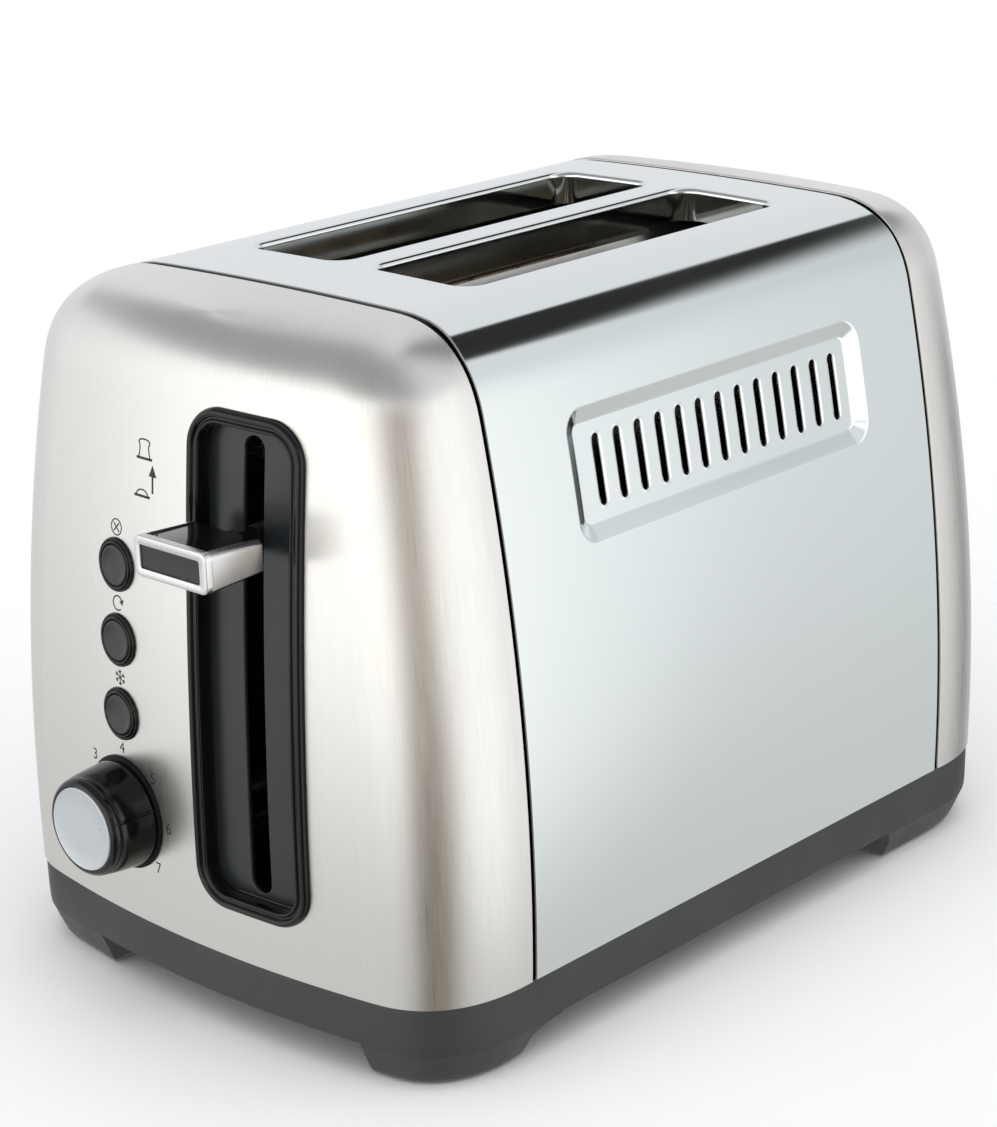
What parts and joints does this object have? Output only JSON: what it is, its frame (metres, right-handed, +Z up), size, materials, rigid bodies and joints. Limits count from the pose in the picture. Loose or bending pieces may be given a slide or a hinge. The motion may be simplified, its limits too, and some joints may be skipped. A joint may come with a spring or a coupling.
{
  "type": "pop up toaster",
  "caption": "Pop-up toaster with bulged brushed steel end caps, a wrapped steel shell, long bread slots, a lift lever in a tall bezel, round push buttons and a browning knob.",
  "frame": {"origin": "centre of the bounding box on the ground plane under the foot pads", "axes": "+Z up, -Y towards the control face, +Y towards the rear, +X to the right seen from the control face"},
  "size_m": [0.176, 0.2873, 0.1985],
  "materials": {
    "charcoal_plastic": "fine matte",
    "rubber": "matte",
    "zinc_screw": "zinc plated",
    "tray_steel": "satin",
    "dark_plastic": "matte",
    "ceramic": "off-white",
    "polished_steel": "polished stainless sheet",
    "brushed_steel": "lengthwise brushed stainless",
    "black_gloss": "high gloss",
    "slate_panel": "satin",
    "chamber_steel": "plain sheet",
    "reflector_steel": "bright sheet",
    "mica": "mica board",
    "heater_ribbon": "oxidised ribbon",
    "guard_wire": "drawn wire",
    "rod_steel": "ground",
    "magnet_iron": "plain iron",
    "copper": "copper coloured",
    "board_green": "circuit board",
    "pot_metal": "plain",
    "lever_chrome": "satin chrome",
    "lever_black": "gloss",
    "button_black": "satin",
    "knob_silver": "satin"
  },
  "bodies": {
    "housing": {"base": "charcoal_plastic", "foot_pads": "rubber", "base_screws": "zinc_screw", "cord_gland": "dark_plastic", "terminal_block": "ceramic", "wrap_shell": "polished_steel", "front_cap": "brushed_steel", "rear_cap": "brushed_steel", "lever_bezel": "black_gloss", "lever_panel": "slate_panel", "button_rings": "black_gloss", "knob_flange": "black_gloss", "front_frame": "chamber_steel", "rear_frame": "chamber_steel", "chamber_top": "chamber_steel", "reflector_left": "reflector_steel", "reflector_right": "reflector_steel", "heater_board_left": "mica", "heater_board_center": "mica", "heater_board_right": "mica", "heater_wires": "heater_ribbon", "guide_rod": "rod_steel", "lift_spring": "rod_steel", "magnet_core": "magnet_iron", "magnet_coil": "copper", "contact_block": "ceramic", "contact_leaves": "copper", "control_board": "board_green", "board_posts": "rod_steel", "button_switches": "dark_plastic", "pot_body": "pot_metal", "frame_screws": "zinc_screw"},
    "carriage": {"carriage_plate": "chamber_steel", "rack_left": "chamber_steel", "rack_right": "chamber_steel", "keeper_plate": "magnet_iron", "lever_arm": "chamber_steel", "lever_grip": "black_gloss", "lever_frame": "lever_chrome", "lever_inset": "lever_black"},
    "left_outer_guard": {"guard_left_outer": "guard_wire"},
    "left_inner_guard": {"guard_left_inner": "guard_wire"},
    "right_inner_guard": {"guard_right_inner": "guard_wire"},
    "right_outer_guard": {"guard_right_outer": "guard_wire"},
    "browning_knob": {"knob": "black_gloss", "knob_disc": "knob_silver", "pot_shaft": "rod_steel"},
    "cancel_key": {"cancel_button": "button_black"},
    "reheat_key": {"reheat_button": "button_black"},
    "defrost_key": {"defrost_button": "button_black"},
    "tray": {"crumb_tray": "tray_steel", "tray_handle": "charcoal_plastic"}
  },
  "joints": [
    {"name": "carriage_slide", "type": "slide", "parent": "housing", "child": "carriage", "axis": [0, 0, 1], "range_m": [-0.08, 0.018], "stiffness_N_per_m": 120, "springref_m": 0.0094, "deforming": ["lift_spring"]},
    {"name": "left_outer_guard_slide", "type": "slide", "parent": "housing", "child": "left_outer_guard", "axis": [1, 0, 0], "range_m": [-0.00135, 0.006]},
    {"name": "left_inner_guard_slide", "type": "slide", "parent": "housing", "child": "left_inner_guard", "axis": [1, 0, 0], "range_m": [-0.006, 0.00135]},
    {"name": "right_inner_guard_slide", "type": "slide", "parent": "housing", "child": "right_inner_guard", "axis": [1, 0, 0], "range_m": [-0.00135, 0.006]},
    {"name": "right_outer_guard_slide", "type": "slide", "parent": "housing", "child": "right_outer_guard", "axis": [1, 0, 0], "range_m": [-0.006, 0.00135]},
    {"name": "knob_turn", "type": "hinge", "parent": "housing", "child": "browning_knob", "pos_m": [-0.0253, -0.1335, 0.0553], "axis": [0, 1, 0], "range_deg": [-200, 70]},
    {"name": "cancel_press", "type": "slide", "parent": "housing", "child": "cancel_key", "axis": [0, 1, 0], "range_m": [0, 0.002], "stiffness_N_per_m": 400},
    {"name": "reheat_press", "type": "slide", "parent": "housing", "child": "reheat_key", "axis": [0, 1, 0], "range_m": [0, 0.002], "stiffness_N_per_m": 400},
    {"name": "defrost_press", "type": "slide", "parent": "housing", "child": "defrost_key", "axis": [0, 1, 0], "range_m": [0, 0.002], "stiffness_N_per_m": 400},
    {"name": "tray_slide", "type": "slide", "parent": "housing", "child": "tray", "axis": [0, 1, 0], "range_m": [0, 0.19]}
  ],
  "couplings": [
    {"joint": "left_outer_guard_slide", "follows": "carriage_slide", "ratio": -0.075},
    {"joint": "left_inner_guard_slide", "follows": "carriage_slide", "ratio": 0.075},
    {"joint": "right_inner_guard_slide", "follows": "carriage_slide", "ratio": -0.075},
    {"joint": "right_outer_guard_slide", "follows": "carriage_slide", "ratio": 0.075}
  ]
}
